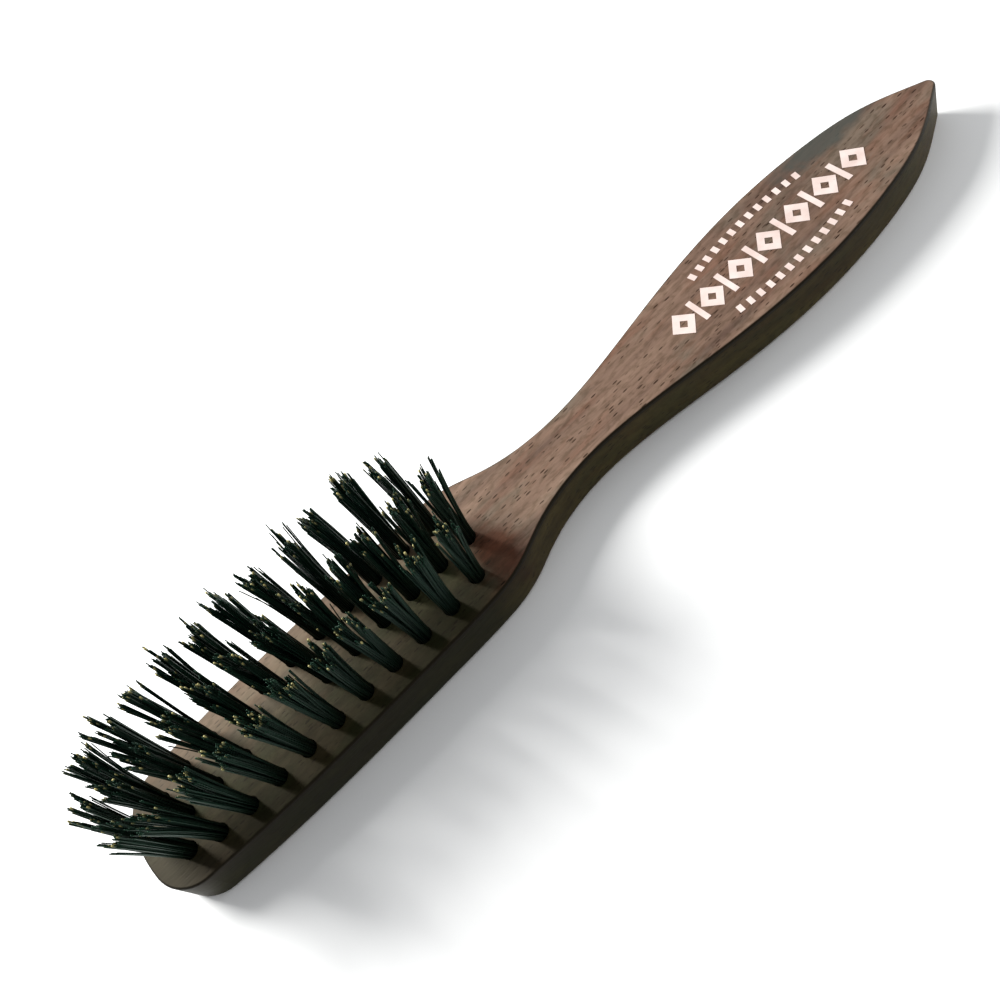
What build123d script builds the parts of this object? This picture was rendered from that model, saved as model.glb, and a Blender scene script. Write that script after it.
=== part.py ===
"""Wooden beard brush: a flat board with a handle, and three rows of stapled bristle tufts.

Frame: origin on the flat back face, half way along the board. +X runs from the head
to the handle's tip, +Z points up out of the bristles. Lengths are in millimetres.
"""
from build123d import *
from math import asin, cos, degrees, radians, sin, tan
import os

# ---- Board ----
board_length = 180.0
board_thickness = 8.0
head_width = 24.7
head_front_width = 22.7      # across the head, just behind its rounded corners
head_corner_radius = 8.0
head_front_radius = 28.0     # the slight bow of the head's front edge
head_side_slope = 4.5        # degrees, where the corner meets the side
head_widest_at = 40.0        # stations are measured from the head's front edge
head_back_at = 57.0
head_back_width = 24.3
shoulder_at = 68.0
shoulder_width = 23.7
neck_at = 97.0
neck_width = 10.6
grip_widest_at = 143.0
grip_width = 21.0
tip_radius = 1.3
tip_slope = 31.0             # degrees, each side of the point
face_edge_radius = 0.4
back_edge_radius = 1.0

# Share of a stretch's length, and share of its rise, for the points between its two ends
shoulder_curve = ((0.15, 0.92), (0.3, 0.72), (0.45, 0.43), (0.65, 0.15))
swell_curve = ((0.28, 0.25), (0.61, 0.73))
point_curve = ((0.46, 0.85), (0.77, 0.51))

# ---- Tufts ----
outer_row_count = 11
row_spacing = 7.35           # middle row to outer row, at the board's face
tuft_pitch = 6.25
first_outer_tuft_at = 6.65
visible_length = 20.5
tuft_diameter = 2.9          # where it leaves the board
tip_diameter = 4.6           # where the bristles have spread
tip_crown = 0.7
row_splay = 6.5              # degrees, outer rows lean outward
lean_at_head = 0.5           # degrees towards the handle, first tufts
lean_at_handle = 4.5         # degrees towards the handle, last tufts
end_tuck_in = (2.1, 0.4)     # outer rows bend inward over their first two tufts
last_tuck_in = 1.0
end_tuck_back = 0.6          # the first tuft of each row sits back from the front edge

# ---- Holes and staples ----
hole_clearance = 0.05        # radial
hole_depth = 5.0
hole_overshoot = 1.0         # the drill starts this far above the face
staple_bite = 0.45           # each end of the staple goes this far into the wood
staple_thickness = 0.5
staple_height = 1.6
staple_lift = 1.1            # bristle fold under the staple

# ---- Printed ornament ----
print_thickness = 0.06
print_centre_at = 141.5      # from the head's front edge
band_length = 46.0
band_height = 5.8
lozenge_count = 7
lozenge_share = 0.76         # of the pitch between lozenges
lozenge_eye = 0.34           # the bare middle of each lozenge, as a share of its size
bar_width = 1.0
bar_height = 5.2
arch_length = 24.5
arch_height = 6.6            # middle of the arch, from the board's centre line
arch_sagitta = 1.0
arch_dot_count = 13
arch_dot_width = 0.95
arch_dot_height = 1.5

front_x = -board_length / 2
tip_x = board_length / 2
half_head = head_width / 2
half_front = head_front_width / 2
half_back = head_back_width / 2
half_shoulder = shoulder_width / 2
half_neck = neck_width / 2
half_grip = grip_width / 2


def between(start, end, shares):
    """Points between two (x, y) ends, at shares of the length and of the drop."""
    points = []
    for along, height in shares:
        low = min(start[1], end[1])
        rise = abs(start[1] - end[1])
        points.append((start[0] + along * (end[0] - start[0]), low + height * rise))
    return points


# The front edge turns through front_turn, and the corner takes the rest of the turn
front_turn = asin((half_front - head_corner_radius * cos(radians(head_side_slope)))
                  / (head_front_radius - head_corner_radius))
corner_turn = radians(90 - head_side_slope) - front_turn

head_point = (front_x + head_widest_at, half_head)
back_point = (front_x + head_back_at, half_back)
shoulder_point = (front_x + shoulder_at, half_shoulder)
neck_point = (front_x + neck_at, half_neck)
grip_point = (front_x + grip_widest_at, half_grip)
tip_start = (tip_x - tip_radius + tip_radius * sin(radians(tip_slope)),
             tip_radius * cos(radians(tip_slope)))
tip_direction = (cos(radians(tip_slope)), -sin(radians(tip_slope)))

side_points = [head_point, back_point, shoulder_point]
side_points += between(shoulder_point, neck_point, shoulder_curve)
side_points += [neck_point]
side_points += between(neck_point, grip_point, swell_curve)
side_points += [grip_point]
side_points += between(grip_point, tip_start, point_curve)


def tuft_places():
    """Name, foot on the board's face and axis of every tuft, row by row."""
    last_x = front_x + first_outer_tuft_at + tuft_pitch * (outer_row_count - 0.5)
    first_x = front_x + first_outer_tuft_at - tuft_pitch / 2
    rows = (("near", -1, outer_row_count, 0.0),
            ("middle", 0, outer_row_count + 1, -0.5),
            ("far", 1, outer_row_count, 0.0))
    places = []
    for row_name, side, count, shift in rows:
        for index in range(count):
            x = front_x + first_outer_tuft_at + tuft_pitch * (index + shift)
            inward = 0.0
            if index < len(end_tuck_in):
                inward = end_tuck_in[index]
            if index == count - 1:
                inward = last_tuck_in
            if index == 0:
                x += end_tuck_back
            y = side * (row_spacing - inward)
            share = (x - first_x) / (last_x - first_x)
            lean = lean_at_head + share * (lean_at_handle - lean_at_head)
            axis = Vector(tan(radians(lean)), side * tan(radians(row_splay)), 1).normalized()
            name = f"tuft_{row_name}_{index + 1:02d}"
            places.append((row_name, name, Vector(x, y, board_thickness), axis))
    return places


def tuft_plane(foot, axis):
    """Plane at a tuft's foot, its Z along the tuft and its X along the board."""
    return Plane(origin=foot, x_dir=(axis.Z, 0, -axis.X), z_dir=axis)


places = tuft_places()
planes = [tuft_plane(foot, axis) for row_name, name, foot, axis in places]
hole_radius = tuft_diameter / 2 + hole_clearance
staple_length = 2 * (hole_radius + staple_bite)
staple_base = -hole_depth + staple_lift

# ---- Wooden board, drilled and slotted for the staples ----
with BuildPart() as wooden_board:
    with BuildSketch(Plane.XY):
        with BuildLine():
            front = JernArc((front_x, 0), (0, 1), head_front_radius, -degrees(front_turn))
            corner = JernArc(front @ 1, front % 1, head_corner_radius, -degrees(corner_turn))
            side = Spline(corner @ 1, *side_points, tip_start,
                          tangents=[corner % 1, tip_direction])
            RadiusArc(tip_start, (tip_x, 0), tip_radius)
            mirror(about=Plane.XZ)
        make_face()
    extrude(amount=board_thickness)
    fillet(wooden_board.faces().sort_by(Axis.Z)[-1].edges(), radius=face_edge_radius)
    fillet(wooden_board.faces().sort_by(Axis.Z)[0].edges(), radius=back_edge_radius)
    with BuildSketch(*[plane.offset(hole_overshoot) for plane in planes]):
        Circle(hole_radius)
    extrude(amount=-(hole_depth + hole_overshoot), mode=Mode.SUBTRACT)
    with BuildSketch(*[plane.offset(staple_base) for plane in planes]):
        Rectangle(staple_length, staple_thickness)
    extrude(amount=staple_height, mode=Mode.SUBTRACT)
wooden_board.part.label = "wooden_board"

# ---- Bristle tufts, each folded in half round its staple ----
tufts = []
for (row_name, name, foot, axis), plane in zip(places, planes):
    with BuildPart() as tuft:
        with BuildSketch(Plane(origin=foot, x_dir=plane.x_dir, z_dir=-plane.y_dir)):
            with BuildLine():
                Polyline((0, -hole_depth), (tuft_diameter / 2, -hole_depth),
                         (tuft_diameter / 2, 0), (tip_diameter / 2, visible_length - tip_crown),
                         (0, visible_length), close=True)
            make_face()
        revolve(axis=Axis(foot, axis))
        with BuildSketch(plane.offset(staple_base)):
            Rectangle(staple_length, staple_thickness)
        extrude(amount=staple_height, mode=Mode.SUBTRACT)
    tuft.part.label = name
    tufts.append(tuft)

# ---- Staples, one group for each row ----
staples = []
for wanted in ("near", "middle", "far"):
    row_planes = [tuft_plane(foot, axis) for row_name, name, foot, axis in places
                  if row_name == wanted]
    with BuildPart() as row_staples:
        with BuildSketch(*[plane.offset(staple_base) for plane in row_planes]):
            Rectangle(staple_length, staple_thickness)
        extrude(amount=staple_height)
    row_staples.part.label = f"staples_{wanted}_row"
    staples.append(row_staples)

# ---- Printed ornament on the handle's face ----
face = Plane((front_x + print_centre_at, 0, board_thickness))
lozenge_pitch = band_length / lozenge_count

with BuildPart() as printed_band:
    with BuildSketch(face):
        for size, mode in ((1, Mode.ADD), (lozenge_eye, Mode.SUBTRACT)):
            half_length = size * lozenge_pitch * lozenge_share / 2
            half_height = size * band_height / 2
            with GridLocations(lozenge_pitch, 0, lozenge_count, 1):
                Polygon((-half_length, 0), (0, -half_height), (half_length, 0), (0, half_height),
                        mode=mode)
        with GridLocations(lozenge_pitch, 0, lozenge_count - 1, 1):
            Rectangle(bar_width, bar_height)
    extrude(amount=print_thickness)
printed_band.part.label = "printed_band"

arch_radius = ((arch_length / 2) ** 2 + arch_sagitta ** 2) / (2 * arch_sagitta)
arch_half_turn = degrees(asin(arch_length / 2 / arch_radius))
arches = []
for name, side in (("printed_arch_near", -1), ("printed_arch_far", 1)):
    with BuildPart() as printed_arch:
        with BuildSketch(face):
            for index in range(arch_dot_count):
                turn = arch_half_turn * (2 * index / (arch_dot_count - 1) - 1)
                x = arch_radius * sin(radians(turn))
                y = arch_height - arch_radius * (1 - cos(radians(turn)))
                with Locations(Location((x, side * y), -side * turn)):
                    Rectangle(arch_dot_width, arch_dot_height)
        extrude(amount=print_thickness)
    printed_arch.part.label = name
    arches.append(printed_arch)

# ---- One STEP file for each node ----
os.makedirs("parts", exist_ok=True)
for piece in [wooden_board, *tufts, *staples, printed_band, *arches]:
    export_step(piece.part, f"parts/{piece.part.label}.step")
    print(piece.part.label, len(piece.part.solids()), "solids",
          round(piece.part.volume, 2), "mm3")
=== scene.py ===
# %% [markdown]
# # A wooden beard brush
# A flat board with a waisted handle carries three rows of bristle tufts. The board, its
# drilled holes and the printed ornament come from the CAD frame, and this file gives
# them their finishes. The tufts are the part that CAD can't draw: there they are plain
# cones, and here each one becomes a bundle of separate bristles.

# %% The frame, and the tools this file needs
from collections import namedtuple
from math import cos, pi, radians, sin, sqrt
from random import Random

import bmesh
import bpy
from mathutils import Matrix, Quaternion, Vector


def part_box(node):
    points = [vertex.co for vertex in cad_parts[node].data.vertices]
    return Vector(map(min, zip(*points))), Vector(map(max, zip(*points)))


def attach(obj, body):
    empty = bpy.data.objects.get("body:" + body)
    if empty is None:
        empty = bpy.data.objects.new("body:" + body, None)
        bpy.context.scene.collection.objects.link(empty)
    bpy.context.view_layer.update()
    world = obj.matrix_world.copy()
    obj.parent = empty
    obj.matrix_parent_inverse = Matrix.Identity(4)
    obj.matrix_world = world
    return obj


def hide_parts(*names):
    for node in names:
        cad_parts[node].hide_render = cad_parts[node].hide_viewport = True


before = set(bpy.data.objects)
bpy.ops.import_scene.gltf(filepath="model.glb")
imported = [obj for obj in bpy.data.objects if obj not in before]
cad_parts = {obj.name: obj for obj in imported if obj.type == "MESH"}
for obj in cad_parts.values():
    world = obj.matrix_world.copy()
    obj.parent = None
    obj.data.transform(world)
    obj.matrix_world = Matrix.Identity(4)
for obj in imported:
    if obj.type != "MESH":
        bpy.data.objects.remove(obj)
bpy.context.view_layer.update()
MM = 0.001
scene = bpy.context.scene
board_low, board_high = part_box("wooden_board")
print("nodes in the frame:", len(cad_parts))

# %% [markdown]
# ## Camera
# The camera looks down at the brush from beside its head, close enough for a little
# perspective. It is built from a target, two angles and a distance, the way one would
# set a tripod, and then rolled, so that the handle points at the picture's corner.

# %% Camera
CAMERA_AZIMUTH = radians(-3.8)
CAMERA_ELEVATION = radians(54.3)
CAMERA_ROLL = radians(-41.5)
CAMERA_DISTANCE = 174.2 * MM
CAMERA_TARGET = Vector((-9.7, 0.8, 8.0)) * MM
LENS = 38.7                  # the camera's own millimetres, on a sensor 36 wide
SENSOR = 36.0
NEAREST_SEEN = 10 * MM

camera_data = bpy.data.cameras.new("camera")
camera_data.lens = LENS
camera_data.sensor_width = SENSOR
camera_data.clip_start = NEAREST_SEEN
camera = bpy.data.objects.new("camera", camera_data)
scene.collection.objects.link(camera)
back = Vector((sin(CAMERA_AZIMUTH) * cos(CAMERA_ELEVATION),
               -cos(CAMERA_AZIMUTH) * cos(CAMERA_ELEVATION),
               sin(CAMERA_ELEVATION)))
camera.rotation_mode = "QUATERNION"
camera.rotation_quaternion = back.to_track_quat("Z", "Y") @ Quaternion((0, 0, 1), CAMERA_ROLL)
camera.location = CAMERA_TARGET + back * CAMERA_DISTANCE
scene.camera = camera
print("camera at", [round(c / MM, 1) for c in camera.location], "mm")

# %% [markdown]
# ## Floor and light
# The brush lies on a sheet of matt white card, and one large soft lamp stands behind it,
# a little to its left. The lamp rakes over the board's face and leaves the near side wall
# in shade. A weak second lamp past the handle's tip lightens that wall a little, and the
# world fills the rest of the shade with a soft white. The Standard view adds no film
# curve, so a colour in the picture follows the colour that is given here.

# %% Helpers for colours, nodes and materials
scene.view_settings.view_transform = "Standard"


def linear(hex_colour):
    """sRGB hex, such as "#7f6759", as the linear RGBA that Blender's sockets take."""
    channels = [int(hex_colour[i:i + 2], 16) / 255 for i in (1, 3, 5)]
    return [c / 12.92 if c <= 0.04045 else ((c + 0.055) / 1.055) ** 2.4 for c in channels] + [1.0]


def add_node(tree, kind, inputs=None, stops=(), **settings):
    """Adds a shader node. An input is a value, or the output socket that feeds it."""
    node = tree.nodes.new("ShaderNode" + kind)
    for key, value in settings.items():
        setattr(node, key, value)
    for key, value in (inputs or {}).items():
        if isinstance(value, bpy.types.NodeSocket):
            tree.links.new(value, node.inputs[key])
        else:
            node.inputs[key].default_value = value
    for index, (place, colour) in enumerate(stops):
        ramp = node.color_ramp.elements
        stop = ramp[index] if index < len(ramp) else ramp.new(place)
        stop.position = place
        stop.color = linear(colour)
    return node


def new_material(name, base, roughness):
    """A Principled material with its two fixed values, its node tree and its shader."""
    material = bpy.data.materials.new(name)
    material.use_nodes = True
    shader = material.node_tree.nodes["Principled BSDF"]
    shader.inputs["Base Color"].default_value = linear(base)
    shader.inputs["Roughness"].default_value = roughness
    return material, material.node_tree, shader


print("middle grey #808080 in linear light:", round(linear("#808080")[0], 3))

# %% Floor
FLOOR_REACH = 3.0            # metres each way from the middle
FLOOR_GAP = 0.02 * MM        # with no gap, the floor and the board's back would be in one place

bm = bmesh.new()
bmesh.ops.create_grid(bm, x_segments=1, y_segments=1, size=FLOOR_REACH)
floor_mesh = bpy.data.meshes.new("floor")
bm.to_mesh(floor_mesh)
bm.free()
floor_mesh.materials.append(new_material("matt white card", "#f0f0ee", 0.95)[0])
floor = bpy.data.objects.new("floor", floor_mesh)
floor.location.z = board_low.z - FLOOR_GAP
scene.collection.objects.link(floor)
print("floor", round(FLOOR_GAP / MM, 3), "mm below the board")

# %% Lamps and world
# Name, place and target (mm), size (mm) and power (W) of each square lamp
LAMPS = (("window", (-200, 340, 270), (-30, 0, 0), 230, 5.1),
         ("side fill", (430, -60, 60), (40, 0, 0), 160, 0.9))

for name, lamp_place, target, size, watts in LAMPS:
    lamp_data = bpy.data.lights.new(name, "AREA")
    lamp_data.size = size * MM
    lamp_data.energy = watts
    lamp = bpy.data.objects.new(name, lamp_data)
    lamp.location = Vector(lamp_place) * MM
    lamp.rotation_mode = "QUATERNION"
    aim = Vector(target) - Vector(lamp_place)
    lamp.rotation_quaternion = aim.to_track_quat("-Z", "Y")
    scene.collection.objects.link(lamp)
    print(name, "lamp,", round(aim.length / 10), "cm from the point it is aimed at")

WORLD_STRENGTH = 0.57
world = bpy.data.worlds.new("soft white room")
world.use_nodes = True
background = world.node_tree.nodes["Background"]
background.inputs["Color"].default_value = linear("#f4f6fa")
background.inputs["Strength"].default_value = WORLD_STRENGTH
scene.world = world

# %% [markdown]
# ## Bristles
# A tuft is a bundle of boar bristles folded in half round a staple. It leaves its hole
# tight and round, and spreads towards the tips, where the bristles cling together in
# small locks of uneven length. Blender's own hair could draw it too, but hair isn't a
# mesh, and every piece here has to be one. So a straight bristle is shaped with operators:
# a thin cone, cut across so that it can bend. It has only a few dozen faces, because each
# tuft takes many copies of it and moves their points.

# %% One straight bristle
BRISTLE_SIDES = 5
BRISTLE_CUTS = (0.2, 0.38, 0.58, 0.78, 0.97)   # shares of its length, the last below its end
ROOT_RADIUS = 0.13           # mm, a thick boar bristle drawn a little coarser than life
TIP_RADIUS = 0.1
SWOLLEN_FROM = 0.9           # share of its length, so that the last two rings can be thicker
PALE_FROM = 0.99             # and only the last ring is pale


def straight_bristle():
    """A tapered prism from z = 0 to z = 1, its radius in mm, cut across at BRISTLE_CUTS."""
    bm = bmesh.new()
    bmesh.ops.create_cone(bm, cap_ends=True, segments=BRISTLE_SIDES, radius1=ROOT_RADIUS,
                          radius2=TIP_RADIUS, depth=1.0)
    bmesh.ops.translate(bm, verts=bm.verts, vec=(0, 0, 0.5))
    for height in BRISTLE_CUTS:
        bmesh.ops.bisect_plane(bm, geom=bm.verts[:] + bm.edges[:] + bm.faces[:],
                               plane_co=(0, 0, height), plane_no=(0, 0, 1))
    bm.verts.layers.float.new("height")
    bm.verts.layers.float.new("tone")
    bm.verts.layers.float.new("pale")
    mesh = bpy.data.meshes.new("one bristle")
    bm.to_mesh(mesh)
    bm.free()
    return mesh


bristle_mesh = straight_bristle()
print("faces in one bristle:", len(bristle_mesh.polygons))

# %% [markdown]
# Where each tuft stands and how it leans is read from its plain cone in the frame: the
# crown's point is its tip, the far rim is the bottom of its hole, and the line between
# them is its axis. So a change to the CAD moves the bristles too.

# %% Reading a tuft's place from its cone
RIM_DEPTH = 0.01             # mm, how much nearer to the tip a point of the rim may be
Stand = namedtuple("Stand", "foot axis across along height root_radius tip_radius")


def tuft_stand(node):
    """Foot on the board's face, axis, two directions across it, visible height and radii."""
    points = [v.co for v in node.data.vertices]
    tip = max(points, key=lambda p: p.z)
    reach = max((p - tip).length for p in points)
    rim = [p for p in points if (p - tip).length > reach - RIM_DEPTH * MM]
    bottom = sum(rim, Vector()) / len(rim)
    axis = (tip - bottom).normalized()
    foot = bottom + axis * ((board_high.z - bottom.z) / axis.z)
    across = Vector((axis.z, 0, -axis.x)).normalized()
    root_radius = max((p - bottom).length for p in rim)
    tip_radius = max((p - foot - axis * (p - foot).dot(axis)).length for p in points)
    height = (tip - foot).length
    return Stand(foot, axis, across, axis.cross(across), height, root_radius, tip_radius)


stand = tuft_stand(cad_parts["tuft_near_01"])
print("first tuft:", round(stand.height / MM, 1), "mm high,", round(2 * stand.root_radius / MM, 1),
      "mm wide at its root and", round(2 * stand.tip_radius / MM, 1), "mm at its tip")


# %% [markdown]
# A lock is a few neighbouring bristles that cling to each other: they draw together
# towards one point, and the outer ones are shorter, so a lock ends in a spike. Most locks
# end near the trimmed height, a few stand above it, and a hair here and there strays.

# %% Sizes of a tuft's locks and bristles
BRISTLES = 118
LOCKS = 12
GOLDEN_ANGLE = pi * (3 - sqrt(5))   # spreads points evenly over a disc
HOLE_REACH = 4.6             # mm of bristle below the board's face
STAPLE_TOP = 2.2             # mm below the face, where the two legs part round the staple
STAPLE_HALF = 0.27           # mm, half the staple's thickness and a little air
FLARE = 1.25                 # above 1, a tuft opens more towards its tips

# Places in the tuft's round section
LOCK_SCATTER = 0.5           # radians, off an even spread of the locks
HAIR_SCATTER = 0.3           # and of the bristles
TUFT_SPREAD = (0.95, 1.3)    # reach of the locks at the tip, in the cone's tip radii
LOCK_HOLD = 0.6              # how far a lock draws its bristles together, 1 for all the way

# Lengths: shares of the tuft's height, as mean and deviation or as lowest and highest
LOCK_LENGTH = (0.96, 0.045)
TALL_LENGTH = (1.02, 1.09)
TALL_CHANCE = 0.2
LOCK_POINT = 5.0             # mm that a bristle is shorter for each tuft radius from its lock
UNEVEN = 0.35                # mm, deviation of one bristle's length in its lock

# Bends at the tip, deviations in mm
TUFT_SWAY = (0.5, 0.4)       # along the board and across it
LOCK_BEND = 0.3
HAIR_BEND = 0.1
STRAY_CHANCE = 0.025
STRAY_BEND = (0.3, 1.2)      # mm outwards, for a bristle on the tuft's rim
STRAY_LENGTH = (0.6, 1.0)

# Pale cut ends
PALE_CHANCE = 0.2
PALE_RANGE = (0.3, 1.0)      # squared, so that most are dull and a few are bright
PALE_SWELL = 0.8             # a split end is thicker than the hair below it
print("bristles in a lock:", round(BRISTLES / LOCKS, 1), "on average")


# %% Locks of a tuft
def on_disc(share, angle):
    """A point in a tuft's round section, at a share of its radius."""
    return Vector((share * cos(angle), share * sin(angle)))


def make_locks(rng, spread):
    """Place at the tip (in tip radii), bend (mm) and length share of each lock."""
    locks = []
    for index in range(LOCKS):
        radius = sqrt((index + 0.5) / LOCKS) * spread
        angle = index * GOLDEN_ANGLE + rng.uniform(-LOCK_SCATTER, LOCK_SCATTER)
        length = rng.gauss(*LOCK_LENGTH)
        if rng.random() < TALL_CHANCE:
            length = rng.uniform(*TALL_LENGTH)
        bend = Vector((rng.gauss(0, LOCK_BEND), rng.gauss(0, LOCK_BEND)))
        locks.append((on_disc(radius, angle), bend, length))
    return locks


print("outermost lock at most", round(sqrt((LOCKS - 0.5) / LOCKS) * TUFT_SPREAD[1], 2), "tip radii out")


# %% Bending one bristle
def bend_bristle(bm, stand, place, tip_place, bend, length, tone, pale):
    """Adds one bristle to bm: from the hole's bottom, up through its mouth, out to its tip."""
    first = len(bm.verts)
    bm.from_mesh(bristle_mesh)
    bm.verts.ensure_lookup_table()
    height_layer = bm.verts.layers.float["height"]
    tone_layer = bm.verts.layers.float["tone"]
    pale_layer = bm.verts.layers.float["pale"]
    root_place = place * (stand.root_radius / MM - ROOT_RADIUS)
    tip_place = tip_place * (stand.tip_radius / MM)
    for vert in bm.verts[first:]:
        x, y, share = vert.co
        up = -HOLE_REACH + share * (length + HOLE_REACH)
        rise = max(up, 0.0) / (stand.height / MM)
        centre = root_place.lerp(tip_place, rise ** FLARE) + bend * rise * rise
        if up < -STAPLE_TOP:
            side = 1 if centre.y >= 0 else -1
            centre.y = side * max(abs(centre.y), STAPLE_HALF + ROOT_RADIUS)
        girth = 1 + PALE_SWELL * pale if share > SWOLLEN_FROM else 1
        offset = (stand.across * (centre.x + girth * x) + stand.along * (centre.y + girth * y)
                  + stand.axis * up)
        vert.co = stand.foot + offset * MM
        vert[height_layer] = rise
        vert[tone_layer] = tone
        vert[pale_layer] = pale if share > PALE_FROM else 0.0


print("a bristle of the tuft's own height is", round(stand.height / MM + HOLE_REACH, 1),
      "mm long with its root")


# %% One tuft
def make_tuft(name, node, seed):
    """A bundle of bent bristles in one mesh, standing where the node's cone stands."""
    rng = Random(seed)
    stand = tuft_stand(node)
    locks = make_locks(rng, rng.uniform(*TUFT_SPREAD))
    sway = Vector((rng.gauss(0, TUFT_SWAY[0]), rng.gauss(0, TUFT_SWAY[1])))
    bm = bmesh.new()
    for index in range(BRISTLES):
        angle = index * GOLDEN_ANGLE + rng.uniform(-HAIR_SCATTER, HAIR_SCATTER)
        place = on_disc(sqrt((index + 0.5) / BRISTLES), angle)
        lock_place, bend, length = min(locks, key=lambda lock: (lock[0] - place).length)
        tip_place = place.lerp(lock_place, LOCK_HOLD)
        bend = sway + bend + Vector((rng.gauss(0, HAIR_BEND), rng.gauss(0, HAIR_BEND)))
        length = (length * stand.height / MM - LOCK_POINT * (lock_place - place).length
                  + rng.gauss(0, UNEVEN))
        if rng.random() < STRAY_CHANCE:
            bend = bend + place * rng.uniform(*STRAY_BEND)
            length *= rng.uniform(*STRAY_LENGTH)
        tone = rng.random()
        pale = rng.uniform(*PALE_RANGE) ** 2 if rng.random() < PALE_CHANCE else 0.0
        bend_bristle(bm, stand, place, tip_place, bend, length, tone, pale)
    mesh = bpy.data.meshes.new(name)
    bm.to_mesh(mesh)
    bm.free()
    mesh.shade_smooth()
    tuft = bpy.data.objects.new(name, mesh)
    scene.collection.objects.link(tuft)
    return tuft


print("faces in one tuft:", BRISTLES * len(bristle_mesh.polygons))

# %% [markdown]
# The bristle is boar hair dyed black. It is keratin, so it has a soft gloss rather than
# a plastic shine, and the dye leaves a dark green cast. The cut ends show the pale core
# that the dye doesn't reach. A pattern in space would paint neighbouring hairs alike, so
# each bristle carries its own height, tone and paleness as attributes of its points.

# %% Dyed boar bristle
hair, hair_tree, hair_shader = new_material("dyed boar bristle", "#0d1511", 0.4)
hair_shader.inputs["IOR"].default_value = 1.54
hair_shader.inputs["Specular Tint"].default_value = linear("#78c89c")
height_value = add_node(hair_tree, "Attribute", attribute_name="height")
tone_value = add_node(hair_tree, "Attribute", attribute_name="tone")
pale_value = add_node(hair_tree, "Attribute", attribute_name="pale")
# The bristles darken towards the root: painted shade deep in the tuft
dye_and_root_shade = add_node(hair_tree, "ValToRGB", {"Fac": height_value.outputs["Fac"]},
               stops=((0.0, "#030504"), (0.45, "#0b1c15"), (0.8, "#10271d"), (1.0, "#0c1a13")))
tone = add_node(hair_tree, "ValToRGB", {"Fac": tone_value.outputs["Fac"]},
                stops=((0.0, "#707070"), (1.0, "#ffffff")))
toned = add_node(hair_tree, "Mix", {0: 1.0, 6: dye_and_root_shade.outputs["Color"], 7: tone.outputs["Color"]},
                 data_type="RGBA", blend_type="MULTIPLY")
ended = add_node(hair_tree, "Mix", {0: pale_value.outputs["Fac"], 6: toned.outputs[2],
                                    7: linear("#b8a970")}, data_type="RGBA")
hair_tree.links.new(ended.outputs[2], hair_shader.inputs["Base Color"])
print("nodes in the bristles' material:", len(hair_tree.nodes))

# %% The three rows
FIRST_SEED = 300             # best of 14 tried: the first tufts' tips reach nearly as real ones do

tuft_nodes = sorted(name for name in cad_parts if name.startswith("tuft_"))
for index, node_name in enumerate(tuft_nodes):
    tuft = make_tuft(node_name.replace("tuft", "bristles"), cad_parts[node_name],
                     FIRST_SEED + index)
    tuft.data.materials.append(hair)
    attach(tuft, "root")
    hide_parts(node_name)
print("tufts:", len(tuft_nodes), "with", BRISTLES, "bristles each")

# %% [markdown]
# The board is a dark open-pored hardwood such as wenge, sanded flat and oiled. The grain
# runs along the board, so every pattern is stretched along X: broad growth bands, fine
# fibres, and the pores, which show as short dark dashes. A picture of wood could be laid
# over the board, but patterns in object coordinates run on from the face over the edge
# and into the side wall, as real grain does.

# %% Grain patterns of the oiled hardwood
# Length along the grain and width across it (mm) of one feature, and octaves of detail.
# Real fibres are far finer, and are drawn coarser so that they show. A noise stays mostly
# between 0.3 and 0.7, so the ramps that read it start and end in there.
GRAIN = {"growth bands": (40.0, 4.0, 3.0), "fibres": (5.0, 0.35, 3.0), "flecks": (2.0, 0.8, 4.0),
         "grey patches": (15.0, 5.0, 3.0), "red patches": (12.5, 2.5, 3.0),
         "pore crowding": (22.0, 3.5, 2.0)}

wood, wood_tree, wood_shader = new_material("oiled open-pored hardwood", "#6b5446", 0.5)
wood_shader.inputs["IOR"].default_value = 1.45
wood_shader.inputs["Specular IOR Level"].default_value = 0.3
wood_shader.inputs["Specular Tint"].default_value = linear("#e2cfa6")
place = add_node(wood_tree, "TexCoord").outputs["Object"]
grain = {}
for name, (length, width, detail) in GRAIN.items():
    scale = (1 / (length * MM), 1 / (width * MM), 1 / (width * MM))
    steps = add_node(wood_tree, "Mapping", {"Vector": place, "Scale": scale})
    grain[name] = add_node(wood_tree, "TexNoise", {
        "Vector": steps.outputs["Vector"], "Scale": 1.0, "Detail": detail,
        "Distortion": 0.3}).outputs["Fac"]
print("grain patterns:", ", ".join(grain))

# %% Colours of the grain
# The growth bands give the brown, patches pull it to grey or red, and fibres and flecks
# darken it
bands = add_node(wood_tree, "ValToRGB", {"Fac": grain["growth bands"]},
                 stops=((0.34, "#5a463d"), (0.5, "#725b4e"), (0.66, "#836b5c")))
fibres = add_node(wood_tree, "ValToRGB", {"Fac": grain["fibres"]},
                  stops=((0.3, "#d0ccc8"), (0.7, "#ffffff")))
flecks = add_node(wood_tree, "ValToRGB", {"Fac": grain["flecks"]},
                  stops=((0.36, "#c4c2b8"), (0.55, "#ffffff")))
greyer = add_node(wood_tree, "MapRange", {"Value": grain["grey patches"], "From Min": 0.5,
                                          "From Max": 0.64, "To Max": 0.7})
redder = add_node(wood_tree, "MapRange", {"Value": grain["red patches"], "From Min": 0.52,
                                          "From Max": 0.68, "To Max": 0.5})
wood_colour = bands.outputs["Color"]
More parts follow.
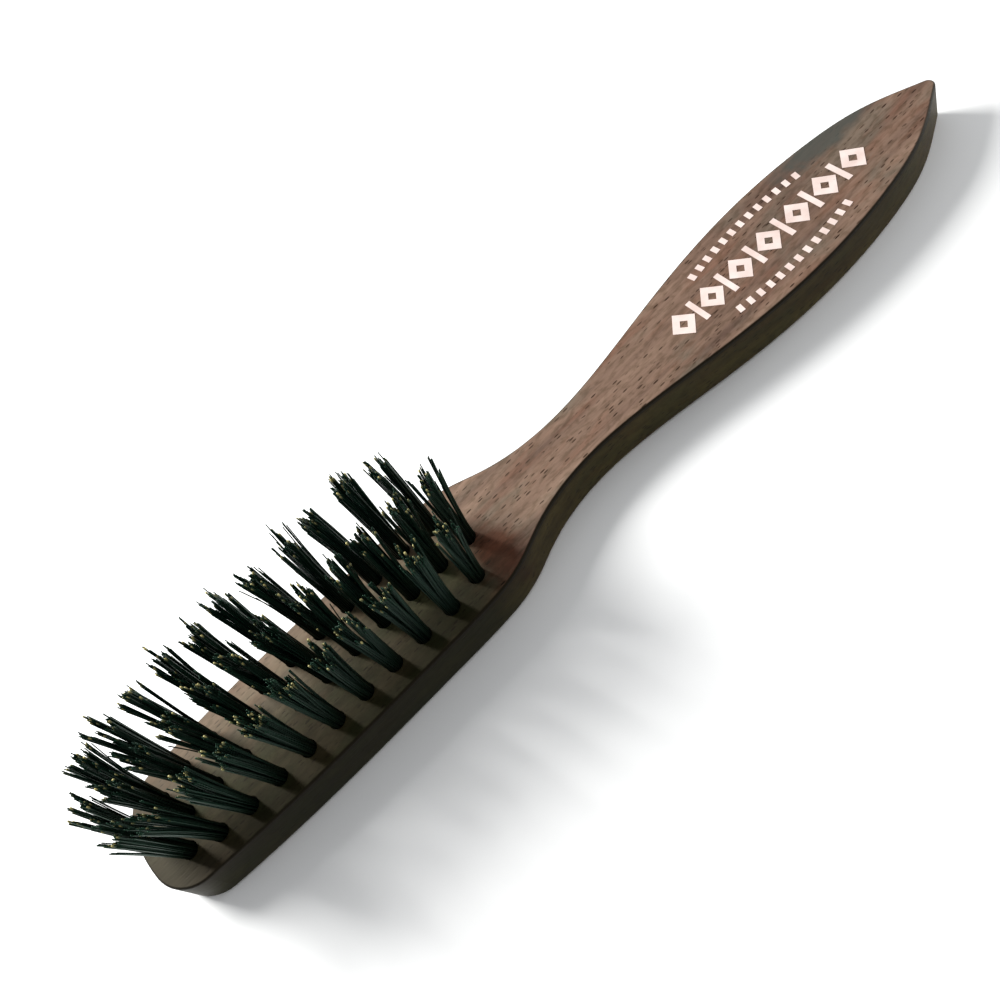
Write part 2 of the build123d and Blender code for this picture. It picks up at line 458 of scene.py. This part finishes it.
for blend, amount, colour in (("MIX", greyer.outputs["Result"], linear("#655b50")),
                              ("MIX", redder.outputs["Result"], linear("#6d4a3b")),
                              ("MULTIPLY", 0.6, fibres.outputs["Color"]),
                              ("MULTIPLY", 0.65, flecks.outputs["Color"])):
    wood_colour = add_node(wood_tree, "Mix", {0: amount, 6: wood_colour, 7: colour},
                           data_type="RGBA", blend_type=blend).outputs[2]
print("nodes in the grain and its colours:", len(wood_tree.nodes))

# %% [markdown]
# The pores are short vessels cut open by the saw. Each is about a millimetre long, and
# they crowd together in some growth bands and leave others nearly clear. A Voronoi cell
# holds one pore, and the cell's own random colour decides whether it shows and how deep.

# %% Pores
PORE_STEP = 2.1              # mm from pore to pore along the grain
PORE_GAP = 0.52              # and across it
PORE_RIM = 0.31              # cells from its middle, where a pore begins
PORE_FLOOR = 0.22            # and where it is at full depth
PORE_SHARE = (0.15, 0.75)    # of the cells show a pore, in a clear band and in a crowded one
FAINTEST = 0.45              # share of a full pore's depth

steps = add_node(wood_tree, "Mapping", {
    "Vector": place, "Scale": (1 / (PORE_STEP * MM), 1 / (PORE_GAP * MM), 1 / (PORE_GAP * MM))})
cells = add_node(wood_tree, "TexVoronoi", {"Vector": steps.outputs["Vector"], "Scale": 1.0})
lot = add_node(wood_tree, "SeparateColor", {"Color": cells.outputs["Color"]})
dash = add_node(wood_tree, "MapRange", {"Value": cells.outputs["Distance"],
                                        "From Min": PORE_RIM, "From Max": PORE_FLOOR})
crowding = add_node(wood_tree, "MapRange", {
    "Value": grain["pore crowding"], "From Min": 0.38, "From Max": 0.6,
    "To Min": PORE_SHARE[0], "To Max": PORE_SHARE[1]})
kept = add_node(wood_tree, "Math", {0: lot.outputs["Red"], 1: crowding.outputs["Result"]},
                operation="LESS_THAN")
depth = add_node(wood_tree, "MapRange", {"Value": lot.outputs["Green"], "To Min": FAINTEST})
pores = dash.outputs["Result"]
for share in (kept.outputs["Value"], depth.outputs["Result"]):
    pores = add_node(wood_tree, "Math", {0: pores, 1: share}, operation="MULTIPLY").outputs["Value"]
wood_colour = add_node(wood_tree, "Mix", {0: pores, 6: wood_colour, 7: linear("#26150e")},
                       data_type="RGBA").outputs[2]
print("pores at most every", PORE_STEP, "mm along the grain and", PORE_GAP, "mm across it")

# %% [markdown]
# A grey streak of sapwood near the handle's tip makes this board one of a kind, and beside
# the last tuft lies a red painted shadow of the tufts. Each is a soft ball of colour,
# stretched along the axes, and a noise frays its edge.

# %% Stains and painted shadow
RAGGED = 4.0                 # mm, size of the bays in a patch's edge
RAGGED_DEPTH = (1.1, 1.1, 0.0)   # how deep the bays are, in reaches of the patch
FULL_AT = 0.45               # of the way in from its rim, a patch has its full strength


def stain_and_painted_shadow(centre, reach, strength):
    """Strength at centre (mm), falling to 0 at reach (mm) along each axis."""
    scale = [1 / (r * MM) for r in reach]
    start = [-c / r for c, r in zip(centre, reach)]
    local = add_node(wood_tree, "Mapping", {"Vector": place, "Location": start, "Scale": scale})
    ragged = add_node(wood_tree, "TexNoise", {"Vector": place, "Scale": 1 / (RAGGED * MM),
                                              "Detail": 3.0})
    moved = add_node(wood_tree, "VectorMath", {0: ragged.outputs["Color"], 1: (0.5, 0.5, 0.5)},
                     operation="SUBTRACT")
    moved = add_node(wood_tree, "VectorMath", {0: moved.outputs["Vector"], 1: RAGGED_DEPTH,
                                               2: local.outputs["Vector"]},
                     operation="MULTIPLY_ADD")
    ball = add_node(wood_tree, "TexGradient", {"Vector": moved.outputs["Vector"]},
                    gradient_type="SPHERICAL")
    return add_node(wood_tree, "MapRange", {"Value": ball.outputs["Fac"], "From Max": FULL_AT,
                                            "To Max": strength}).outputs["Result"]


sapwood = stain_and_painted_shadow((74.0, 7.2, 8.0), (15.0, 3.3, 9.0), 0.85)
# The second patch is painted shadow of the tufts: it darkens and reddens the wood beside the last tuft
painted_shadow_beside_last_tuft = stain_and_painted_shadow((-15.6, -6.0, 8.0), (4.4, 7.0, 9.0), 0.8)
for blend, amount, colour in (("MIX", sapwood, "#3f423e"), ("MULTIPLY", painted_shadow_beside_last_tuft, "#b46c4c")):
    wood_colour = add_node(wood_tree, "Mix", {0: amount, 6: wood_colour, 7: linear(colour)},
                           data_type="RGBA", blend_type=blend).outputs[2]
print("nodes in the wood's material so far:", len(wood_tree.nodes))

# %% [markdown]
# The wood is darker and greener between the tufts: painted shade of the tufts. The painted
# shade is deepest along the near edge and in the corner at the head's front, and the face
# is also darker towards the head's front. Each cast has straight edges that fade, one ramp
# for each, and their product is its strength. The face and the side wall are told apart by
# the surface's normal: its Z is 1 on the face, 0 on the wall and -1 on the back.

# %% Dark casts
last_foot = tuft_stand(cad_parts["tuft_near_11"]).foot
spot = add_node(wood_tree, "SeparateXYZ", {0: place})
normal = add_node(wood_tree, "NewGeometry").outputs["Normal"]
facing = add_node(wood_tree, "SeparateXYZ", {0: normal})
blotches = add_node(wood_tree, "MapRange", {"Value": grain["grey patches"], "From Min": 0.35,
                                            "From Max": 0.5, "To Min": 0.8}).outputs["Result"]

WALL_ENDS = 0.3              # Z of the normal
FACE_BEGINS = 0.85

# Each ramp's axis, where it is clear, where it is full, and how strong it is there
ON_FACE = ("normal", WALL_ENDS, FACE_BEGINS, 1.0)
# Painted shade of the tufts over the head, deepest along its near edge and in its near corner
CASTS = {
    "painted tuft shade": ("#6e936d", (("X", last_foot.x + 6 * MM, last_foot.x - 3 * MM, 0.95),
                               ("Y", board_high.y + 4 * MM, 1 * MM, 1.0),
                               ("Z", board_low.z, board_low.z + 0.5 * MM, 1.0))),
    "near edge": ("#9c9880", (("X", last_foot.x + 4 * MM, last_foot.x - 1 * MM, 0.8),
                              ("Y", -4 * MM, -10 * MM, 1.0), ON_FACE)),
    # The face is darker towards the head's front
    "head front": ("#a09f92", (("X", board_low.x + 12 * MM, board_low.x + 3 * MM, 1.0), ON_FACE)),
    "corner": ("#94948a", (("X", board_low.x + 16 * MM, board_low.x + 6 * MM, 0.8),
                           ("Y", 0.0, -8 * MM, 1.0), ON_FACE))}
for colour, ramps in CASTS.values():
    cast = blotches
    for axis, clear, full, strength in ramps:
        value = facing.outputs["Z"] if axis == "normal" else spot.outputs[axis]
        fade = add_node(wood_tree, "MapRange", {"Value": value, "From Min": clear, "From Max": full,
                                                "To Max": strength}).outputs["Result"]
        cast = add_node(wood_tree, "Math", {0: cast, 1: fade}, operation="MULTIPLY").outputs["Value"]
    wood_colour = add_node(wood_tree, "Mix", {0: cast, 6: wood_colour, 7: linear(colour)},
                           data_type="RGBA", blend_type="MULTIPLY").outputs[2]
print("casts:", ", ".join(CASTS))

# %% [markdown]
# The side wall is darker than the face and a little olive: painted shade, for the near wall
# stands in shade. The edge between them is a thin, nearly black brown line, and the wall
# darkens towards it: painted shade of the rounded edge. The normal finds the wall again,
# and the height above the back finds the edge.

# %% Side wall and edge
flatness = add_node(wood_tree, "Math", {0: facing.outputs["Z"]}, operation="ABSOLUTE")
# Painted shade: every side wall is darkened and turned olive
painted_wall_shade = add_node(wood_tree, "MapRange", {"Value": flatness.outputs["Value"],
                                        "From Min": FACE_BEGINS, "From Max": WALL_ENDS})
height = add_node(wood_tree, "MapRange", {"Value": spot.outputs["Z"], "From Min": board_low.z,
                                          "From Max": board_high.z})
# Painted shade: the wall darkens towards its top, and the rounded edge is a nearly black line
painted_edge_shade = add_node(wood_tree, "ValToRGB", {"Fac": height.outputs["Result"]},
                     stops=((0.0, "#ffffff"), (0.8, "#e0dcd0"), (0.89, "#b0a490"), (0.91, "#1a0f08"),
                            (0.995, "#1a0f08"), (0.9995, "#ffffff")))
for amount, colour in ((painted_wall_shade.outputs["Result"], linear("#879262")),
                       (1.0, painted_edge_shade.outputs["Color"])):
    wood_colour = add_node(wood_tree, "Mix", {0: amount, 6: wood_colour, 7: colour},
                           data_type="RGBA", blend_type="MULTIPLY").outputs[2]
wood_tree.links.new(wood_colour, wood_shader.inputs["Base Color"])
print("nodes in the wood's whole colour:", len(wood_tree.nodes))

# %% [markdown]
# Oil doesn't fill the grain, so the fibres stand up a little and the pores stay open.
# They are too fine to model, so a bump node tilts the surface's normal there instead, and
# the satin gloss changes from fibre to fibre.

# %% Relief and gloss of the wood
RELIEF = 0.05                # mm, for a height of 1
FIBRE_RISE = 0.5
PORE_DROP = 0.25

raised = add_node(wood_tree, "Math", {0: grain["fibres"], 1: FIBRE_RISE}, operation="MULTIPLY")
relief = add_node(wood_tree, "Math", {0: pores, 1: -PORE_DROP, 2: raised.outputs["Value"]},
                  operation="MULTIPLY_ADD")
bump = add_node(wood_tree, "Bump", {"Height": relief.outputs["Value"], "Distance": RELIEF * MM,
                                    "Strength": 0.7})
wood_tree.links.new(bump.outputs["Normal"], wood_shader.inputs["Normal"])
gloss = add_node(wood_tree, "MapRange", {"Value": grain["fibres"], "To Min": 0.5, "To Max": 0.65})
wood_tree.links.new(gloss.outputs["Result"], wood_shader.inputs["Roughness"])
print("relief of", round((FIBRE_RISE + PORE_DROP) * RELIEF, 4), "mm at most")

# %% [markdown]
# The ornament is screen printed in a thick cream ink. It dries matt and a little uneven,
# and pinholes are left in it. Real ones come where it bridges a pore. Here a noise of its
# own scatters them, which is simpler than repeating the board's pores. The staples are
# flat steel wire that hardly shows between the bristles, and a fine mottle in its gloss
# stands for the marks of drawing.

# %% Ink and steel
INK_CLOUD = 3.0              # mm, thicker and thinner passes of the squeegee
PINHOLE = 0.35               # mm
WIRE_MARK = 0.08             # mm, coarser than life so that it shows

ink, ink_tree, ink_shader = new_material("screen printed cream ink", "#d2beb6", 0.6)
steel, steel_tree, steel_shader = new_material("drawn flat steel wire", "#9a9a98", 0.35)
steel_shader.inputs["Metallic"].default_value = 1.0
mottle = []
for tree, size in ((ink_tree, INK_CLOUD), (ink_tree, PINHOLE), (steel_tree, WIRE_MARK)):
    where = add_node(tree, "TexCoord").outputs["Object"]
    noise = add_node(tree, "TexNoise", {"Vector": where, "Scale": 1 / (size * MM), "Detail": 3.0})
    mottle.append(noise.outputs["Fac"])
cloud, specks, marks = mottle

passes = add_node(ink_tree, "ValToRGB", {"Fac": cloud},
                  stops=((0.35, "#cbb6ad"), (0.65, "#d9c7bf")))
pinholes = add_node(ink_tree, "MapRange", {"Value": specks, "From Min": 0.69, "From Max": 0.75,
                                           "To Max": 0.7})
chipped = add_node(ink_tree, "Mix", {0: pinholes.outputs["Result"], 6: passes.outputs["Color"],
                                     7: linear("#7a6050")}, data_type="RGBA")
matt = add_node(ink_tree, "MapRange", {"Value": cloud, "To Min": 0.5, "To Max": 0.7})
ink_tree.links.new(chipped.outputs[2], ink_shader.inputs["Base Color"])
ink_tree.links.new(matt.outputs["Result"], ink_shader.inputs["Roughness"])
drawn = add_node(steel_tree, "MapRange", {"Value": marks, "To Min": 0.25, "To Max": 0.5})
steel_tree.links.new(drawn.outputs["Result"], steel_shader.inputs["Roughness"])
print("nodes in the ink:", len(ink_tree.nodes), "and in the steel:", len(steel_tree.nodes))

# %% Finishes for the CAD nodes
# By the start of the node's name
FINISHES = {"wooden_board": wood, "printed": ink, "staples": steel}
for name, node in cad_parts.items():
    for start, material in FINISHES.items():
        if name.startswith(start):
            node.data.materials.clear()
            node.data.materials.append(material)
print("CAD nodes with a finish of their own:", len(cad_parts) - len(tuft_nodes))
